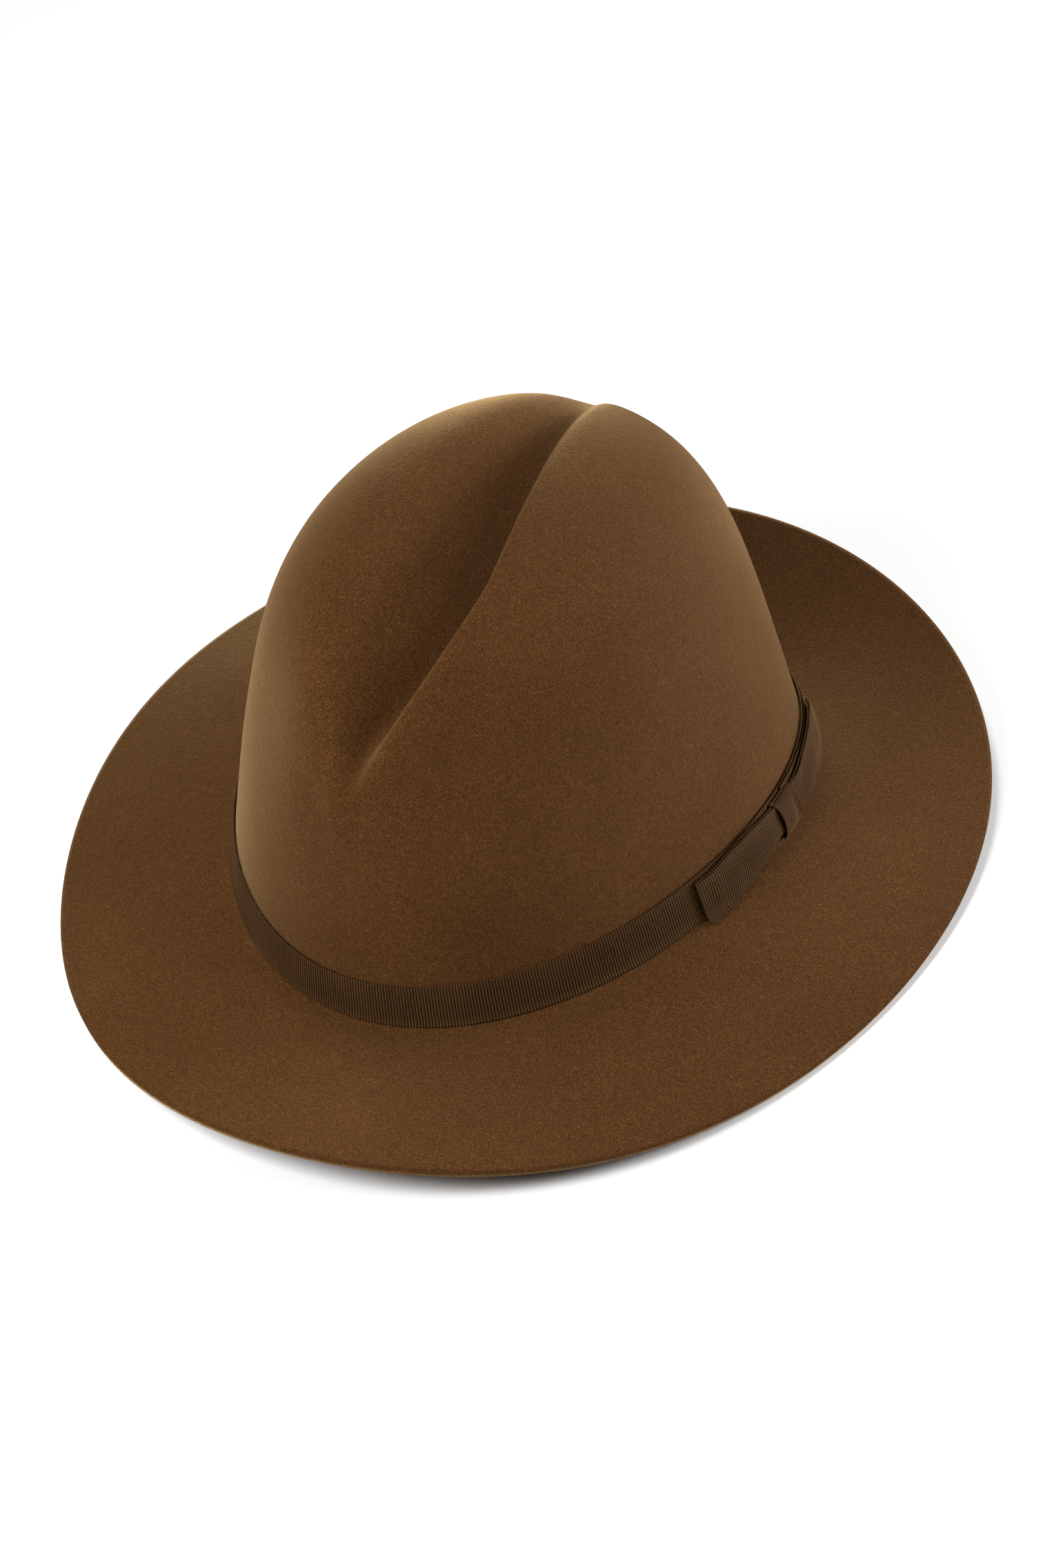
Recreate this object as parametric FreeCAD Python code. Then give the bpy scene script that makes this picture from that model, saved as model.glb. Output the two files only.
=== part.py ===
"""Soft felt hat with a centre crease, a snap brim and a ribbon band, as a parametric document.

Frame: +Z up, the front of the hat towards -Y, the wearer's left (the bow side) at +X.
Shapes are worked out about the middle of the head opening, then every sub-part gets the same
Placement, which puts the origin under the middle of the hat at the level it stands on.
"""
import FreeCAD, Part
import math
import os

from FreeCAD import Vector

os.makedirs("parts", exist_ok=True)
doc = FreeCAD.newDocument("felt_hat")

SIZES = [
    # the head opening, measured on the outside of the felt
    ("head_half_width", 85.0), ("head_half_length", 102.0), ("front_narrowing", 0.054),
    ("side_rise", 4.9), ("back_dip", 2.15),
    # the felt
    ("felt_thick", 2.0), ("break_round", 2.5), ("brim_width", 56.5), ("brim_curl", 1.25),
    ("brim_level", -7.7), ("brim_pitch", 3.2), ("brim_droop", 6.1), ("brim_roll", 1.8),
    ("brim_wave", 1.7), ("brim_square", 1.8),
    # the crown before it is creased
    ("crown_height", 121.0), ("side_taper", 25.6), ("front_taper", 14.1), ("back_taper", 4.5),
    ("side_fullness", 7.0), ("end_fullness", 5.1), ("crown_lean", 5.4),
    # the crease along the top, by its angle about a line across the hat: 0 forwards, 90 up.
    # It leans under its left side, which is the steeper one.
    ("crease_depth", 32.0), ("crease_tilt", 29.0), ("crease_left", 11.0), ("crease_right", 16.0),
    ("crease_start", 21.0), ("crease_peak", 68.0), ("crease_end", 156.0), ("crease_side", 6.5),
    ("crease_skew", 0.12), ("crease_centre_up", 35.0),
    # the hollows that fingers pinch beside the crease's front end, and the ridge between them
    ("pinch_depth", 4.0), ("pinch_left", 34.0), ("pinch_right", 36.0), ("pinch_up", 32.0),
    ("pinch_width", 18.0), ("pinch_height", 17.0), ("pinch_ridge", 1.6),
    # the line that the front of the brim snaps about
    ("snap_offset", 5.0), ("snap_gap", 0.6),
    # the ribbon band and its bow, with angles from the wearer's left towards the back
    ("band_width", 12.8), ("band_thick", 0.7), ("band_gap", 0.25), ("band_lift", 1.0),
    ("layer_gap", 0.25), ("bow_angle", 9.0), ("knot_length", 13.0), ("knot_width", 10.4),
    ("knot_thick", 1.1), ("loop_thick", 1.2), ("loop_pinch", 9.0), ("front_loop_length", 46.0),
    ("back_loop_length", 50.0), ("tail_thick", 0.6), ("tail_length", 60.0),
    ("tack_angle", -37.0), ("tack_length", 1.6), ("tack_radius", 0.25),
    # the sweatband and what belongs to it
    ("sweat_gap", 1.5), ("sweat_thick", 0.9), ("sweat_width", 36.0), ("sweat_lift", 1.0),
    ("reed_radius", 0.8), ("welt_thick", 0.4), ("lock_count", 72.0), ("lock_lift", 4.0),
    ("stitch_length", 3.4), ("stitch_radius", 0.3), ("tape_width", 9.0), ("tape_thick", 0.3),
    ("seam_stitch_pitch", 4.0), ("inner_bow_length", 16.0), ("inner_bow_width", 6.0),
    ("inner_bow_thick", 1.0), ("label_length", 26.0), ("label_width", 14.0),
    ("label_thick", 0.3), ("tag_length", 13.0), ("tag_width", 8.0), ("tag_angle", 68.0),
    # the lining
    ("lining_crease_width", 27.0), ("lining_crease_side", 14.0), ("lining_slack", 2.0),
    ("lining_gap", 0.8), ("lining_thick", 0.4), ("lining_start", 0.26), ("lining_seam", 0.535),
    ("piping_radius", 0.8), ("patch_half_length", 30.0), ("patch_thick", 0.3),
]

sheet = doc.addObject("Spreadsheet::Sheet", "Sizes")
for row, (alias, value) in enumerate(SIZES, start=1):
    sheet.set("A%d" % row, alias)
    sheet.set("B%d" % row, str(value))
    sheet.setAlias("B%d" % row, alias)
doc.recompute()

S = {alias: float(sheet.get(alias)) for alias, _ in SIZES}

RING_POINTS = 96          # points on each ring of a solid that goes round the hat
PATCH_POINTS = 14         # points along a solid that covers part of the way round
WALL_SHARES = (0.10, 0.18, 0.27, 0.36, 0.45, 0.54, 0.62, 0.70, 0.77)
TIP_SHARES = (0.87, 0.80, 0.73, 0.66, 0.59, 0.52, 0.45, 0.38, 0.31, 0.24, 0.17, 0.10, 0.04)
BREAK_BENDS = (0.0, 30.0, 60.0, 90.0)
BRIM_SHARES = (0.2, 0.36, 0.52, 0.68, 0.84, 1.0)
SAME_WAY = 1              # tells a ruled surface that its two edges run the same way
FLAT_MARGIN = 40.0        # how far the cutting boxes stand clear of the brim


# ---------------------------------------------------------------- the shape of the felt

def break_height(turn):
    """Height of the corner between crown and brim, at an angle about +Z from +X."""
    return S["side_rise"] * math.cos(2 * turn) - S["back_dip"] * math.sin(turn)


def crown_section(turn, height, width_share, length_share):
    """A point of the crown before creasing: an egg-shaped oval that narrows upwards."""
    up = height / 100.0
    half_width = S["head_half_width"] - S["side_taper"] * up
    taper = S["front_taper"] if math.sin(turn) < 0 else S["back_taper"]
    half_length = S["head_half_length"] - taper * up
    x = half_width * width_share * math.cos(turn) * (1 + S["front_narrowing"] * math.sin(turn))
    y = half_length * length_share * math.sin(turn)
    return Vector(x - S["crown_lean"] * up, y, height)


def smooth_step(share):
    share = min(1.0, max(0.0, share))
    return share * share * (3 - 2 * share)


def bell(distance, width):
    return math.exp(-(distance / width) ** 2)


def pinch(across, angle):
    """How far the pinched hollows sink into the crown's front, less the ridge between them."""
    up = bell(angle - S["pinch_up"], S["pinch_height"])
    sides = bell(across - S["pinch_left"], S["pinch_width"])
    sides += 0.8 * bell(across + S["pinch_right"], S["pinch_width"])
    ridge_place = -3.0 - 0.55 * max(0.0, angle - 28)
    ridge = bell(across - ridge_place, 4.0) * bell(angle - 27, 13.0)
    return S["pinch_depth"] * sides * up - S["pinch_ridge"] * ridge


def felt_crease():
    """Depth, lean, widths of the left and right sides, and place of the felt's crease."""
    return S["crease_depth"], S["crease_tilt"], S["crease_left"], S["crease_right"], S["crease_side"]


def lining_crease():
    """The lining hangs round the felt's crease in a wider and plainer one."""
    width = S["lining_crease_width"]
    return S["crease_depth"] + S["lining_slack"], 0.0, width, width, S["lining_crease_side"]


def crease_dip(across, angle, form):
    """Depth of the crease, and the share of its full form that it has at this angle."""
    depth, _, left, right, side = form
    start, peak, end = S["crease_start"], S["crease_peak"], S["crease_end"]
    if not start < angle < end:
        return 0.0, 0.0
    rise = math.sin(min(1.0, (angle - start) / (peak - start)) * math.pi / 2)
    fall = smooth_step((end - angle) / (end - peak))
    middle = side * rise - S["crease_skew"] * max(0.0, angle - peak)
    width = left if across > middle else right
    width *= (0.3 + 0.7 * rise) * (0.5 + 0.5 * fall)
    return depth * rise * fall * bell(across - middle, width), rise


def crease(point, form):
    """Press the crease and the pinch into the crown, towards a line across the hat inside it."""
    centre_up = S["crease_centre_up"]
    up = point.z - centre_up
    radius = math.hypot(point.y, up)
    angle = math.degrees(math.atan2(up, -point.y))
    across = point.x + S["crown_lean"] * point.z / 100.0
    dip, rise = crease_dip(across, angle, form)
    tilt = math.radians(form[1]) * rise
    sink = dip * math.cos(tilt)
    if point.y < 0:
        sink += pinch(across, angle)
    scale = (radius - sink) / radius
    return Vector(point.x + dip * math.sin(tilt), point.y * scale, centre_up + up * scale)


def wall_point(turn, share, form=None):
    """A point of the crown's outside, at a share of its height, with a form of crease."""
    width_share = math.sqrt(1 - share ** S["side_fullness"])
    length_share = math.sqrt(1 - share ** S["end_fullness"])
    base = break_height(turn)
    height = base + (S["crown_height"] - base) * share
    return crease(crown_section(turn, height, width_share, length_share), form or felt_crease())


def tip_point(turn, width_share, form=None):
    """Outside of the crown's top, at a share of its half width."""
    return wall_point(turn, (1 - width_share ** 2) ** (1 / S["side_fullness"]), form)


def outward(turn):
    """Level direction square to the oval of the head opening."""
    x = math.cos(turn) / S["head_half_width"]
    y = math.sin(turn) / S["head_half_length"]
    long = math.hypot(x, y)
    return Vector(x / long, y / long, 0)


def brim_edge_height(turn):
    return (S["brim_level"] + S["brim_pitch"] * math.sin(turn) - S["brim_droop"] * math.cos(2 * turn)
            - S["brim_roll"] * math.cos(turn) - S["brim_wave"] * math.cos(3 * turn)
            + S["brim_square"] * math.cos(4 * turn))


def brim_point(turn, share):
    """Upper side of the brim. share runs from 0 at the break to 1 at the cut edge."""
    base = break_height(turn)
    rise = brim_edge_height(turn) - base
    reach = math.sqrt(S["brim_width"] ** 2 - rise ** 2)
    corner = crown_section(turn, base, 1.0, 1.0)
    point = corner + outward(turn) * (reach * share)
    point.z = base + rise * share ** S["brim_curl"]
    return point


def break_point(turn, bend):
    """The rounded corner between crown and brim. bend runs from 0 on the wall to 90 on the brim."""
    radius = S["break_round"]
    angle = math.radians(bend)
    height = break_height(turn) + radius * (1 - math.sin(angle))
    wall = crown_section(turn, height, 1.0, 1.0)
    return wall + outward(turn) * (radius * (1 - math.cos(angle)))


def crown_rows(low_share, form=None):
    """Rings of the crown's outside as functions of the turn, from the tip down to a share."""
    rows = [lambda turn, q=q: tip_point(turn, q, form) for q in TIP_SHARES[::-1]]
    shares = [share for share in WALL_SHARES[::-1] if share > low_share + 0.02]
    rows += [lambda turn, u=u: wall_point(turn, u, form) for u in shares]
    return rows


def felt_rows():
    rows = crown_rows(0.0)
    rows += [lambda turn, b=b: break_point(turn, b) for b in BREAK_BENDS]
    rows += [lambda turn, f=f: brim_point(turn, f) for f in BRIM_SHARES]
    return rows


def all_turns():
    return [2 * math.pi * i / RING_POINTS for i in range(RING_POINTS)]


def grid_of(rows):
    return [[row(turn) for turn in all_turns()] for row in rows]


def directions(grid):
    """Outward direction at each point of a grid whose rings close on themselves."""
    result = []
    for i, ring in enumerate(grid):
        above = grid[max(0, i - 1)]
        below = grid[min(len(grid) - 1, i + 1)]
        line = []
        for j in range(len(ring)):
            along = ring[(j + 1) % len(ring)] - ring[j - 1]
            line.append((below[j] - above[j]).cross(along).normalize())
        result.append(line)
    return result


def moved(grid, ways, distance):
    return [[p + way * distance for p, way in zip(ring, line)] for ring, line in zip(grid, ways)]


def flattened(ring):
    """The ring pressed onto its own mean plane, so that a flat face can close it."""
    centre = sum(ring, Vector()) / len(ring)
    way = Vector()
    for here, after in zip(ring, ring[1:] + ring[:1]):
        way += (here - centre).cross(after - centre)
    way.normalize()
    return [p - way * (p - centre).dot(way) for p in ring]


# ---------------------------------------------------------------- places on the crown's wall

def on_wall(turn, height, offset):
    """A point beside the crown's wall: its height above the break, and its distance outwards."""
    base = break_height(turn)
    share = height / (S["crown_height"] - base)
    radius = S["break_round"]
    flare = 0.0
    if 0 <= height < radius and offset >= 0:
        flare = radius - math.sqrt(radius ** 2 - (radius - height) ** 2)
    if share <= 0:
        corner = crown_section(turn, base + height, 1.0, 1.0)
    else:
        corner = wall_point(turn, share)
    return corner + outward(turn) * (offset + flare)


def turn_after(turn, distance):
    """The turn reached by going a distance round the break from a turn."""
    step = math.copysign(math.radians(0.25), distance)
    gone = 0.0
    here = on_wall(turn, 0, 0)
    while gone < abs(distance):
        turn += step
        after = on_wall(turn, 0, 0)
        gone += (after - here).Length
        here = after
    return turn


# ---------------------------------------------------------------- solids from rows of points

def closed_edge(points):
    """A smooth closed curve. Even parameters make neighbouring rings run in step."""
    curve = Part.BSplineCurve()
    steps = [float(i) for i in range(len(points) + 1)]
    curve.interpolate(Points=points, PeriodicFlag=True, Parameters=steps)
    return curve.toShape()


def open_edge(points):
    curve = Part.BSplineCurve()
    curve.interpolate(Points=points, Parameters=[float(i) for i in range(len(points))])
    return curve.toShape()


def sewn_solid(faces):
    shell = Part.makeShell(faces)
    shell.sewShape()
    solid = Part.Solid(shell if shell.ShapeType == "Shell" else shell.Shells[0])
    if solid.Volume < 0:
        solid.reverse()
    return solid


def solid_of_rings(rings, capped=False):
    """A solid whose skin runs through closed rings: capped at both ends, or closed on itself."""
    edges = [closed_edge(ring) for ring in rings]
    pairs = list(zip(edges, edges[1:]))
    if capped:
        ends = [Part.Face(Part.Wire(edges[0])), Part.Face(Part.Wire(edges[-1]))]
    else:
        pairs.append((edges[-1], edges[0]))
        ends = []
    return sewn_solid([Part.makeRuledSurface(a, b, SAME_WAY) for a, b in pairs] + ends)


def ring_on_wall(section):
    """A solid all the way round. section lists its corners as height and offset, or functions."""
    return solid_of_rings([[on_wall(turn, high, off) for turn in all_turns()] for high, off in section])


def patch_on_wall(start, stop, low, high, near, far):
    """A solid over part of the wall. low and high give its edges' heights at a share of its length."""
    shares = [i / (PATCH_POINTS - 1) for i in range(PATCH_POINTS)]
    corners = [(low, near), (low, far), (high, far), (high, near)]
    lines = []
    for height, offset in corners:
        points = [on_wall(start + (stop - start) * k, height(k), offset) for k in shares]
        lines.append(points)
    edges = [open_edge(points) for points in lines]
    faces = [Part.makeRuledSurface(a, b, SAME_WAY) for a, b in zip(edges, edges[1:] + edges[:1])]
    for end in (0, -1):
        low_side = Part.makeLine(lines[0][end], lines[1][end])
        high_side = Part.makeLine(lines[3][end], lines[2][end])
        faces.append(Part.makeRuledSurface(low_side, high_side))
    return sewn_solid(faces)


def level(height):
    return lambda share: height


def thread(middle, way, length, radius):
    """One straight stitch with round ends cut flat."""
    way = Vector(way).normalize()
    return Part.makeCylinder(radius, length, middle - way * (length / 2), way)


# ---------------------------------------------------------------- the sub-parts

def felt_solid():
    grid = grid_of(felt_rows())
    ways = directions(grid)
    inside = moved(grid, ways, -S["felt_thick"])
    grid[0] = flattened(grid[0])
    inside[0] = flattened(inside[0])
    return solid_of_rings(grid + inside[::-1], capped=True)


def snap_line():
    return -(S["head_half_length"] + S["snap_offset"])


def front_box(back_edge, box):
    """A box round everything in front of a line across the hat."""
    corner = Vector(box.XMin - FLAT_MARGIN, box.YMin - FLAT_MARGIN, box.ZMin - FLAT_MARGIN)
    wide = box.XLength + 2 * FLAT_MARGIN
    high = box.ZLength + 2 * FLAT_MARGIN
    return Part.makeBox(wide, back_edge - corner.y, high, corner)


def band_solid():
    near = S["band_gap"]
    far = near + S["band_thick"]
    low = S["band_lift"]
    high = low + S["band_width"]
    return ring_on_wall([(low, near), (low, far), (S["break_round"], far), (high, far),
                         (high, near), (S["break_round"], near)])


def band_face():
    return S["band_gap"] + S["band_thick"]


def tail_solid():
    start = turn_after(math.radians(S["bow_angle"]), S["knot_length"] / 2 - 4)
    stop = turn_after(math.radians(S["bow_angle"]), S["tail_length"])
    near = band_face() + S["layer_gap"]
    low = S["band_lift"] + 0.8
    high = S["band_lift"] + S["band_width"]
    notch = lambda share: high - 1.5 * share
    return patch_on_wall(start, stop, level(low), notch, near, near + S["tail_thick"])


def loop_edges(pinched_at_end):
    """Edges of a bow loop: full width at its fold, narrow at the knot."""
    middle = S["band_lift"] + S["band_width"] / 2
    spare = (S["band_width"] - S["loop_pinch"]) / 2

    def half(share):
        towards_knot = share if pinched_at_end else 1 - share
        return S["band_width"] / 2 - spare * smooth_step((towards_knot - 0.45) / 0.55)

    return (lambda share: middle - half(share)), (lambda share: middle + half(share))


def front_loop_solid():
    stop = turn_after(math.radians(S["bow_angle"]), -S["knot_length"] / 2 + 4)
    start = turn_after(stop, -S["front_loop_length"])
    low, high = loop_edges(True)
    near = band_face() + S["layer_gap"]
    return patch_on_wall(start, stop, low, high, near, near + S["loop_thick"])


def back_loop_solid():
    start = turn_after(math.radians(S["bow_angle"]), S["knot_length"] / 2 - 4)
    stop = turn_after(start, S["back_loop_length"])
    low, high = loop_edges(False)
    near = band_face() + 2 * S["layer_gap"] + S["tail_thick"]
    return patch_on_wall(start, stop, low, high, near, near + S["loop_thick"])


def knot_solid():
    start = turn_after(math.radians(S["bow_angle"]), -S["knot_length"] / 2)
    stop = turn_after(start, S["knot_length"])
    middle = S["band_lift"] + S["band_width"] / 2
    half = S["knot_width"] / 2
    near = band_face() + 3 * S["layer_gap"] + S["tail_thick"] + S["loop_thick"]
    waist = lambda share: half * (1 - 0.12 * math.sin(math.pi * share))
    return patch_on_wall(start, stop, lambda k: middle - waist(k), lambda k: middle + waist(k),
                         near, near + S["knot_thick"])


def tack_stitches_solid():
    turn = math.radians(S["tack_angle"])
    offset = band_face() + S["tack_radius"] + S["layer_gap"]
    height = S["band_lift"] + S["band_width"] * 0.62
    solids = []
    for side in (-1, 1):
        here = turn_after(turn, side * S["tack_length"] * 0.7)
        middle = on_wall(here, height + side * 0.3, offset)
        solids.append(thread(middle, Vector(0, 0, 1), S["tack_length"], S["tack_radius"]))
    return Part.makeCompound(solids)


def bow_stitches_solid():
    """Short stitches that hold the folded ends of both loops to the band."""
    front = turn_after(math.radians(S["bow_angle"]), -S["knot_length"] / 2 + 4 - S["front_loop_length"])
    offset = band_face() + S["tack_radius"] + S["layer_gap"]
    solids = []
    for share in (0.25, 0.75):
        height = S["band_lift"] + S["band_width"] * share
        middle = on_wall(turn_after(front, -S["tack_length"] / 2 - 0.3), height, offset)
        along = on_wall(front, height, offset) - middle
        solids.append(thread(middle, along, S["tack_length"], S["tack_radius"]))
    return Part.makeCompound(solids)


def sweat_back():
    return -(S["felt_thick"] + S["sweat_gap"])


def sweat_face():
    return sweat_back() - S["sweat_thick"]


def sweatband_solid():
    low = S["sweat_lift"]
    middle = low + S["sweat_width"] / 2
    high = low + S["sweat_width"]
    back, face = sweat_back(), sweat_face()
    return ring_on_wall([(low, back), (low, face), (middle, face), (high, face), (high, back),
                         (middle, back)])


def reed_centre():
    height = S["sweat_lift"] - S["welt_thick"] - S["reed_radius"] - 2 * S["layer_gap"]
    return height, (sweat_back() + sweat_face()) / 2


def arc_section(radius, first, last, count):
    height, offset = reed_centre()
    angles = [math.radians(first + (last - first) * i / (count - 1)) for i in range(count)]
    return [(height + radius * math.sin(a), offset + radius * math.cos(a)) for a in angles]


def reed_solid():
    return ring_on_wall(arc_section(S["reed_radius"], 0, 315, 8))


def welt_solid():
    """A tape folded round the reed, open below."""
    inside = S["reed_radius"] + S["layer_gap"]
    outside = inside + S["welt_thick"]
    return ring_on_wall(arc_section(outside, -60, 240, 9) + arc_section(inside, 240, -60, 9))


def lock_stitches_solid():
    count = int(S["lock_count"])
    offset = sweat_face() - S["stitch_radius"] - S["layer_gap"]
    solids = []
    for i in range(count):
        turn = 2 * math.pi * (i + 0.5) / count
        height = S["sweat_lift"] + S["lock_lift"]
        middle = on_wall(turn, height, offset)
        along = on_wall(turn + 0.01, height, offset) - middle
        solids.append(thread(middle, along, S["stitch_length"], S["stitch_radius"]))
    return Part.makeCompound(solids)


def tape_face():
    return sweat_face() - S["layer_gap"] - S["tape_thick"]


def back_turns(half_length):
    return turn_after(math.pi / 2, -half_length), turn_after(math.pi / 2, half_length)


def seam_tape_solid():
    start, stop = back_turns(S["tape_width"] / 2)
    low = S["sweat_lift"] + S["lock_lift"] + 2
    high = S["sweat_lift"] + S["sweat_width"] - 1
    return patch_on_wall(start, stop, level(low), level(high), tape_face(),
                         sweat_face() - S["layer_gap"])


def seam_stitches_solid():
    """Slanted stitches up both edges of the tape over the sweatband's back seam."""
    offset = tape_face() - S["stitch_radius"] - S["layer_gap"]
    low = S["sweat_lift"] + S["lock_lift"] + 9 + S["inner_bow_width"]
    high = S["sweat_lift"] + S["sweat_width"] - 3
    count = int((high - low) / S["seam_stitch_pitch"]) + 1
    solids = []
    for side in (-1, 1):
        turn = turn_after(math.pi / 2, side * S["tape_width"] * 0.3)
        for i in range(count):
            middle = on_wall(turn, low + i * S["seam_stitch_pitch"], offset)
            solids.append(thread(middle, Vector(side * 0.5, 0, 1), 2.6, S["stitch_radius"]))
    return Part.makeCompound(solids)


def inner_bow_solid():
    start, stop = back_turns(S["inner_bow_length"] / 2)
    middle = S["sweat_lift"] + S["lock_lift"] + 3 + S["inner_bow_width"] / 2
    half = lambda share: S["inner_bow_width"] / 2 * (0.45 + 0.55 * abs(math.cos(math.pi * share)))
    far = tape_face() - S["layer_gap"]
    return patch_on_wall(start, stop, lambda k: middle - half(k), lambda k: middle + half(k),
                         far - S["inner_bow_thick"], far)


def wall_label(turn, length, width, height):
    start = turn_after(turn, -length / 2)
    stop = turn_after(turn, length / 2)
    far = sweat_face() - S["layer_gap"]
    return patch_on_wall(start, stop, level(height), level(height + width),
                         far - S["label_thick"], far)


def maker_label_solid():
    height = S["sweat_lift"] + S["lock_lift"] + 7
    return wall_label(0.0, S["label_length"], S["label_width"], height)


def size_tag_solid():
    height = S["sweat_lift"] + S["lock_lift"] + 12
    return wall_label(math.radians(S["tag_angle"]), S["tag_length"], S["tag_width"], height)


def lining_layer(rows, first, second):
    """Two rows of rings inside the felt, at two depths below its outside."""
    grid = grid_of(rows)
    ways = directions(grid)
    return moved(grid, ways, -first), moved(grid, ways, -second)


def lining_depths():
    near = S["felt_thick"] + S["lining_gap"]
    return near, near + S["lining_thick"]


def lining_side_solid():
    shares = [s for s in WALL_SHARES if S["lining_start"] < s < S["lining_seam"]]
    shares = [S["lining_seam"]] + shares[::-1] + [S["lining_start"]]
    rows = [lambda turn, u=u: wall_point(turn, u, lining_crease()) for u in shares]
    outside, inside = lining_layer(rows, *lining_depths())
    return solid_of_rings(outside + inside[::-1])


def lining_tip_solid():
    edge_share = S["lining_seam"] + 0.015
    form = lining_crease()
    rows = crown_rows(edge_share, form) + [lambda turn: wall_point(turn, edge_share, form)]
    outside, inside = lining_layer(rows, *lining_depths())
    outside[0] = flattened(outside[0])
    inside[0] = flattened(inside[0])
    return solid_of_rings(outside + inside[::-1], capped=True)


def piping_solid():
    """A cord round the seam between the lining's side and its tip."""
    share = S["lining_seam"] + 0.0075
    shares = (share + 0.02, share, share - 0.02)
    rows = [lambda turn, u=u: wall_point(turn, u, lining_crease()) for u in shares]
    grid = grid_of(rows)
    ways = directions(grid)
    depth = lining_depths()[1] + S["layer_gap"] + S["piping_radius"]
    rings = []
    for i in range(8):
        angle = math.radians(45 * i)
        ring = []
        for top, here, low, way in zip(grid[0], grid[1], grid[2], ways[1]):
            up = (top - low).normalize()
            middle = here - way * depth
            ring.append(middle + up * (S["piping_radius"] * math.sin(angle))
                        + way * (S["piping_radius"] * math.cos(angle)))
        rings.append(ring)
    return solid_of_rings(rings)


def tip_patch_solid():
    """A plain oval patch in the middle of the lining's tip."""
    share = S["patch_half_length"] / S["head_half_length"]
    widths = [q for q in TIP_SHARES if q < share]
    widths = widths[::-1] + [share]
    rows = [lambda turn, q=q: tip_point(turn, q, lining_crease()) for q in widths]
    near = lining_depths()[1] + 2 * S["layer_gap"]
    outside, inside = lining_layer(rows, near, near + S["patch_thick"])
    outside[0] = flattened(outside[0])
    inside[0] = flattened(inside[0])
    return solid_of_rings(outside + inside[::-1], capped=True)


def build_felt():
    """The felt in two pieces: what stays, and the front of the brim that snaps up."""
    felt = felt_solid()
    box = felt.BoundBox
    body = felt.cut(front_box(snap_line() + S["snap_gap"] / 2, box))
    flap = felt.common(front_box(snap_line() - S["snap_gap"] / 2, box))
    return box, body, flap


def add_part(name, shape, place):
    part = doc.addObject("Part::Feature", name)
    part.Label = name
    part.Shape = shape
    part.Placement = place
    return part


felt_box, felt_body, brim_front = build_felt()
standing = FreeCAD.Placement(Vector(-felt_box.Center.x, -felt_box.Center.y, -felt_box.ZMin),
                             FreeCAD.Rotation())
PIECES = [
    ("felt_body", lambda: felt_body), ("brim_front", lambda: brim_front),
    ("hatband_ribbon", band_solid), ("bow_front_loop", front_loop_solid),
    ("bow_back_loop", back_loop_solid), ("bow_knot", knot_solid), ("bow_tail", tail_solid),
    ("ribbon_tack_stitches", tack_stitches_solid), ("bow_stitches", bow_stitches_solid),
    ("sweatband_leather", sweatband_solid), ("sweatband_reed", reed_solid),
    ("sweatband_welt", welt_solid), ("sweatband_lock_stitches", lock_stitches_solid),
    ("sweatband_seam_tape", seam_tape_solid), ("sweatband_seam_stitches", seam_stitches_solid),
    ("sweatband_bow", inner_bow_solid), ("blank_maker_label", maker_label_solid),
    ("blank_size_tag", size_tag_solid), ("lining_side", lining_side_solid),
    ("lining_tip", lining_tip_solid), ("lining_piping", piping_solid),
    ("lining_tip_patch", tip_patch_solid),
]
parts = [add_part(name, make(), standing) for name, make in PIECES]
doc.recompute()


def check(part):
    if "Invalid" in part.State or "Error" in part.State:
        raise RuntimeError(part.Label + " failed to compute")
    if part.Shape.isNull() or not part.Shape.isValid() or part.Shape.Volume <= 0:
        raise RuntimeError(part.Label + " has no valid solid")


for item in doc.Objects:
    if "Invalid" in item.State or "Error" in item.State:
        raise RuntimeError(item.Label + " failed to compute")
for part in parts:
    check(part)
for part in parts:
    part.Shape.exportStep("parts/%s.step" % part.Label)
    print("%-26s %3d solids %10.1f mm3" % (part.Label, len(part.Shape.Solids), part.Shape.Volume))
print("middle of the head opening in the frame:", standing.Base)
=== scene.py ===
"""Looks of a soft felt hat: creased crown, raw-edged snap brim, grosgrain band and bow.

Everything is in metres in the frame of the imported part: +Z up, the front of the hat towards -Y.
The felt, the ribbons and the lining are worked out again here from the same formulas as the CAD
solids, about the middle of the head opening, and much more finely.
"""
import bisect
import math

import bpy
from mathutils import Matrix, Vector, noise


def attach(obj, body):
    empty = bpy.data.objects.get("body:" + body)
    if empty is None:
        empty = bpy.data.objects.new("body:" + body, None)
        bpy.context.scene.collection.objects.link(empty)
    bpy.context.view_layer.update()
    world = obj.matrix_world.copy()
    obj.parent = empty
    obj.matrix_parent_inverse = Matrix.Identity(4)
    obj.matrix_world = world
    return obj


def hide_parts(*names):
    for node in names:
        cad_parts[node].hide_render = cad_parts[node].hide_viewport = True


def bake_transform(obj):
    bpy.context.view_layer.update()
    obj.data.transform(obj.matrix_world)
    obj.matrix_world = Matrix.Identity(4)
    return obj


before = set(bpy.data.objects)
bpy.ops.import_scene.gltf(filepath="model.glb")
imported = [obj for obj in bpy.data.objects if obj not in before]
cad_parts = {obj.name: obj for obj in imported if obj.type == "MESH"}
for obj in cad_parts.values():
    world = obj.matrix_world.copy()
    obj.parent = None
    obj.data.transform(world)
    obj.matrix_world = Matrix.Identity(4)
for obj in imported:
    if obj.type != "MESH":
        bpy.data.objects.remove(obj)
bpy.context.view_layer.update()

MM = 0.001

HAT = "hat"

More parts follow.
